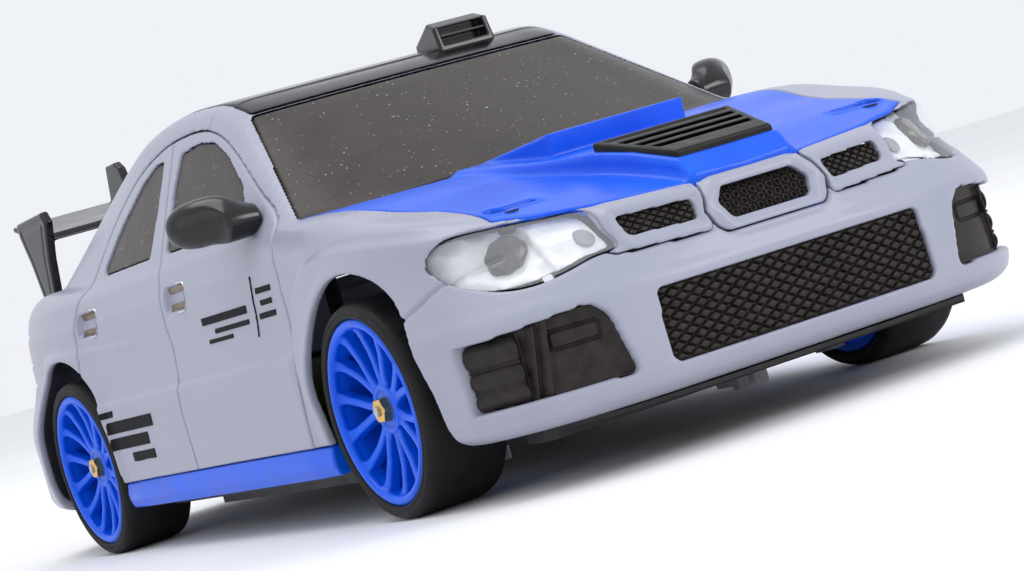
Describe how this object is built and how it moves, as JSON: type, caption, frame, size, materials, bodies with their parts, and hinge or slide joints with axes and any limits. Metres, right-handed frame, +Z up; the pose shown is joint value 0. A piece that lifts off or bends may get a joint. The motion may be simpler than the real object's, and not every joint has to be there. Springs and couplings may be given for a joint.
{
  "type": "remote control car",
  "caption": "Small remote control rally saloon: hollow lift-off body shell on posts over a four-wheel-drive chassis with steered front wheels and gearboxes.",
  "frame": {"origin": "on the ground under the middle of the car's length and width", "axes": "-Y towards the front of the car, +X towards its left side, +Z up"},
  "size_m": [0.0868, 0.1846, 0.0604],
  "materials": {
    "grey_shell": "semi-gloss moulded",
    "blue_shell": "semi-gloss moulded",
    "black_gloss": "gloss",
    "black_plastic": "satin moulded",
    "tinted_panel": "satin painted",
    "clear_lens": "clear polished",
    "reflector": "vacuum plated",
    "red_lens": "gloss painted",
    "tyre_rubber": "smooth slick",
    "steel": "turned",
    "brass": "turned",
    "white_nylon": "moulded",
    "grey_plastic": "moulded",
    "battery_cell": "film wrapped",
    "circuit_board": "solder mask"
  },
  "bodies": {
    "chassis": {"chassis_tub": "black_plastic", "front_gear_case": "black_plastic", "rear_gear_case": "black_plastic", "upper_arm": "black_plastic", "motor_can": "steel", "steering_servo": "black_plastic", "battery_pack": "battery_cell", "circuit_board": "circuit_board", "body_post_front_left": "black_plastic", "body_post_front_right": "black_plastic"},
    "shell": {"body_shell": "grey_shell", "bonnet_panel": "blue_shell", "bonnet_vent": "black_plastic", "windscreen": "tinted_panel", "rear_window": "tinted_panel", "roof_panel": "black_gloss", "roof_vent": "black_gloss", "rear_wing": "black_gloss", "centre_grille": "black_plastic", "lower_grille": "black_plastic", "front_door_window_left": "tinted_panel", "rear_door_window_left": "tinted_panel", "headlight_lens_left": "clear_lens", "headlight_bowl_left": "reflector", "side_grille_left": "black_plastic", "fog_panel_left": "black_plastic", "tail_light_left": "red_lens", "door_mirror_left": "black_gloss", "side_skirt_left": "blue_shell", "front_door_window_right": "tinted_panel", "rear_door_window_right": "tinted_panel", "headlight_lens_right": "clear_lens", "headlight_bowl_right": "reflector", "side_grille_right": "black_plastic", "fog_panel_right": "black_plastic", "tail_light_right": "red_lens", "door_mirror_right": "black_gloss", "side_skirt_right": "blue_shell"},
    "rear_axle_set": {"rear_axle": "steel", "tyre_rear_left": "tyre_rubber", "tyre_rear_right": "tyre_rubber", "rim_rear_left": "blue_shell", "rim_rear_right": "blue_shell"},
    "front_axle_set": {"front_axle": "steel"},
    "centre_shaft_set": {"centre_shaft": "white_nylon"},
    "motor_pinion_set": {"motor_pinion": "brass"},
    "horn": {"servo_horn": "white_nylon"},
    "tie": {"tie_rod": "black_plastic"},
    "trim": {"steering_trim_lever": "grey_plastic"},
    "door": {"battery_door": "black_plastic"},
    "switch": {"switch_slider": "black_plastic"},
    "knuckle_left_set": {"knuckle_left": "grey_plastic"},
    "wheel_front_left": {"tyre_front_left": "tyre_rubber", "rim_front_left": "blue_shell", "stub_axle_left": "steel"},
    "knuckle_right_set": {"knuckle_right": "grey_plastic"},
    "wheel_front_right": {"tyre_front_right": "tyre_rubber", "rim_front_right": "blue_shell", "stub_axle_right": "steel"}
  },
  "joints": [
    {"name": "shell_lift", "type": "slide", "parent": "chassis", "child": "shell", "axis": [0, 0, 1], "range_m": [0, 0.045]},
    {"name": "rear_axle_spin", "type": "hinge", "parent": "chassis", "child": "rear_axle_set", "pos_m": [0, 0.0509, 0.0133], "axis": [1, 0, 0], "continuous": true},
    {"name": "front_axle_spin", "type": "hinge", "parent": "chassis", "child": "front_axle_set", "pos_m": [0, -0.0551, 0.0133], "axis": [1, 0, 0], "continuous": true},
    {"name": "centre_shaft_spin", "type": "hinge", "parent": "chassis", "child": "centre_shaft_set", "pos_m": [0, 0, 0.0133], "axis": [0, 1, 0], "continuous": true},
    {"name": "motor_pinion_spin", "type": "hinge", "parent": "chassis", "child": "motor_pinion_set", "pos_m": [0.00785, 0.015, 0.0133], "axis": [0, 1, 0], "continuous": true},
    {"name": "steer_left", "type": "hinge", "parent": "chassis", "child": "knuckle_left_set", "pos_m": [0.025, -0.0551, 0.0133], "axis": [0, 0, 1], "range_deg": [-20, 20]},
    {"name": "steer_right", "type": "hinge", "parent": "chassis", "child": "knuckle_right_set", "pos_m": [-0.025, -0.0551, 0.0133], "axis": [0, 0, 1], "range_deg": [-20.1, 20.1]},
    {"name": "tie_rod_slide", "type": "slide", "parent": "chassis", "child": "tie", "axis": [1, 0, 0], "range_m": [-0.0032, 0.0032]},
    {"name": "servo_horn_turn", "type": "hinge", "parent": "chassis", "child": "horn", "pos_m": [0, -0.072, 0.0155], "axis": [0, 0, 1], "range_deg": [-23, 23]},
    {"name": "wheel_front_left_spin", "type": "hinge", "parent": "knuckle_left_set", "child": "wheel_front_left", "pos_m": [0.033, -0.0551, 0.0133], "axis": [1, 0, 0], "continuous": true},
    {"name": "wheel_front_right_spin", "type": "hinge", "parent": "knuckle_right_set", "child": "wheel_front_right", "pos_m": [-0.033, -0.0551, 0.0133], "axis": [1, 0, 0], "continuous": true},
    {"name": "steering_trim", "type": "hinge", "parent": "chassis", "child": "trim", "pos_m": [0.002, -0.072, 0.0045], "axis": [0, 0, 1], "range_deg": [-15, 15]},
    {"name": "battery_door_slide", "type": "slide", "parent": "chassis", "child": "door", "axis": [0, 1, 0], "range_m": [0, 0.0115]},
    {"name": "power_switch_slide", "type": "slide", "parent": "chassis", "child": "switch", "axis": [0, 1, 0], "range_m": [0, 0.0036]}
  ],
  "couplings": [
    {"joint": "front_axle_spin", "follows": "rear_axle_spin", "ratio": 1},
    {"joint": "wheel_front_left_spin", "follows": "rear_axle_spin", "ratio": 1},
    {"joint": "wheel_front_right_spin", "follows": "rear_axle_spin", "ratio": 1},
    {"joint": "centre_shaft_spin", "follows": "rear_axle_spin", "ratio": 2},
    {"joint": "motor_pinion_spin", "follows": "rear_axle_spin", "ratio": -4.8},
    {"joint": "steer_right", "follows": "steer_left", "ratio": 1},
    {"joint": "tie_rod_slide", "follows": "steer_left", "m_per_rad": 0.009},
    {"joint": "servo_horn_turn", "follows": "steer_left", "ratio": -1.1392}
  ]
}
